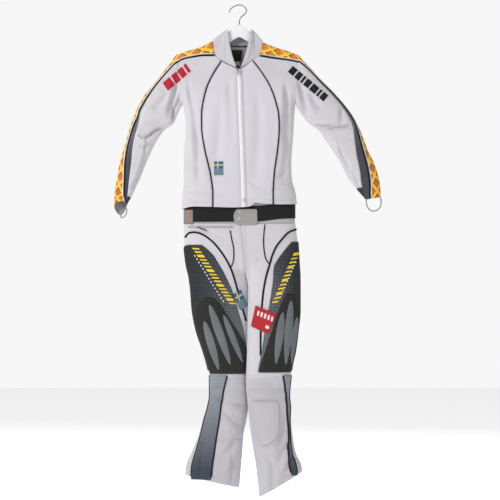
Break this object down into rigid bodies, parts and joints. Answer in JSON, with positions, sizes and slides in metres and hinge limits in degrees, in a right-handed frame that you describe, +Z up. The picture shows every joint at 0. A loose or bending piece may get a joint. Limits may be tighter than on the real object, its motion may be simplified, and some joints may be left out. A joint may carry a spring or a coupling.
{
  "type": "one-piece outdoor suit on a hanger",
  "caption": "One-piece snow race suit with stand collar, front zip, elastic belt, dark mesh thighs, ribbed knee guards and printed arms, hanging on a pale hanger.",
  "frame": {"origin": "inside top of the hanger's hook, where a rail or nail carries it", "axes": "+Z up, the suit's front faces -Y, the wearer's left is at +X"},
  "size_m": [0.8549, 0.1114, 1.5742],
  "materials": {
    "back": "matt quilted knit",
    "belt": "matt woven",
    "belt_end": "matt woven band",
    "belt_snap": "bright",
    "belt_tab": "matt woven band",
    "chest_flag": "matt woven",
    "collar": "matt quilted knit",
    "cuff_gusset_left": "matt mesh",
    "cuff_gusset_right": "matt mesh",
    "forearm_mesh_back_left": "matt mesh",
    "forearm_mesh_back_right": "matt mesh",
    "forearm_mesh_front_left": "matt mesh",
    "forearm_mesh_front_right": "matt mesh",
    "front_centre_left": "matt quilted knit",
    "front_centre_right": "matt quilted knit",
    "front_side_left": "matt quilted knit",
    "front_side_right": "matt quilted knit",
    "hand_loop_left": "matt woven band",
    "hand_loop_right": "matt woven band",
    "hanger_body": "satin",
    "hanger_hook": "dark satin",
    "hem_snap": "bright",
    "knee_guard_left": "matt moulded",
    "knee_guard_right": "matt moulded",
    "neck_label": "matt woven",
    "overarm_left": "matt printed knit",
    "overarm_piping_left": "matt woven",
    "overarm_piping_right": "matt woven",
    "overarm_right": "matt printed knit",
    "pocket_zip": "matt woven band",
    "princess_piping_left": "matt woven",
    "princess_piping_right": "matt woven",
    "shin_pad_left": "matt quilted knit",
    "shin_pad_right": "matt quilted knit",
    "shin_stripe_left": "matt woven band",
    "shin_stripe_right": "matt woven band",
    "size_tag": "matt woven",
    "sleeve_left": "matt quilted knit",
    "sleeve_right": "matt quilted knit",
    "thigh_badge": "matt woven",
    "thigh_flag": "matt woven",
    "thigh_mesh_left": "matt mesh",
    "thigh_mesh_right": "matt mesh",
    "thigh_piping_left": "matt woven",
    "thigh_piping_right": "matt woven",
    "trouser_back_left": "matt quilted knit",
    "trouser_back_right": "matt quilted knit",
    "trouser_front_left": "matt quilted knit",
    "trouser_front_right": "matt quilted knit",
    "waistband": "matt woven band",
    "zip_pull": "bright",
    "zip_slider": "bright",
    "zip_tape": "matt woven"
  },
  "bodies": {
    "suit": {"back": "back", "belt": "belt", "belt_end": "belt_end", "belt_snap": "belt_snap", "belt_tab": "belt_tab", "chest_flag": "chest_flag", "collar": "collar", "cuff_gusset_left": "cuff_gusset_left", "cuff_gusset_right": "cuff_gusset_right", "forearm_mesh_back_left": "forearm_mesh_back_left", "forearm_mesh_back_right": "forearm_mesh_back_right", "forearm_mesh_front_left": "forearm_mesh_front_left", "forearm_mesh_front_right": "forearm_mesh_front_right", "front_centre_left": "front_centre_left", "front_centre_right": "front_centre_right", "front_side_left": "front_side_left", "front_side_right": "front_side_right", "hand_loop_left": "hand_loop_left", "hand_loop_right": "hand_loop_right", "hanger_body": "hanger_body", "hanger_hook": "hanger_hook", "hem_snap": "hem_snap", "knee_guard_left": "knee_guard_left", "knee_guard_right": "knee_guard_right", "neck_label": "neck_label", "overarm_left": "overarm_left", "overarm_piping_left": "overarm_piping_left", "overarm_piping_right": "overarm_piping_right", "overarm_right": "overarm_right", "pocket_zip": "pocket_zip", "princess_piping_left": "princess_piping_left", "princess_piping_right": "princess_piping_right", "shin_pad_left": "shin_pad_left", "shin_pad_right": "shin_pad_right", "shin_stripe_left": "shin_stripe_left", "shin_stripe_right": "shin_stripe_right", "size_tag": "size_tag", "sleeve_left": "sleeve_left", "sleeve_right": "sleeve_right", "thigh_badge": "thigh_badge", "thigh_flag": "thigh_flag", "thigh_mesh_left": "thigh_mesh_left", "thigh_mesh_right": "thigh_mesh_right", "thigh_piping_left": "thigh_piping_left", "thigh_piping_right": "thigh_piping_right", "trouser_back_left": "trouser_back_left", "trouser_back_right": "trouser_back_right", "trouser_front_left": "trouser_front_left", "trouser_front_right": "trouser_front_right", "waistband": "waistband", "zip_slider": "zip_slider", "zip_tape": "zip_tape"},
    "pull": {"zip_pull": "zip_pull"}
  },
  "joints": [
    {"name": "zip_pull_swing", "type": "hinge", "parent": "suit", "child": "pull", "pos_m": [-0.0035, -0.0335, -0.2075], "axis": [-1, 0, 0], "range_deg": [0, 150]}
  ]
}
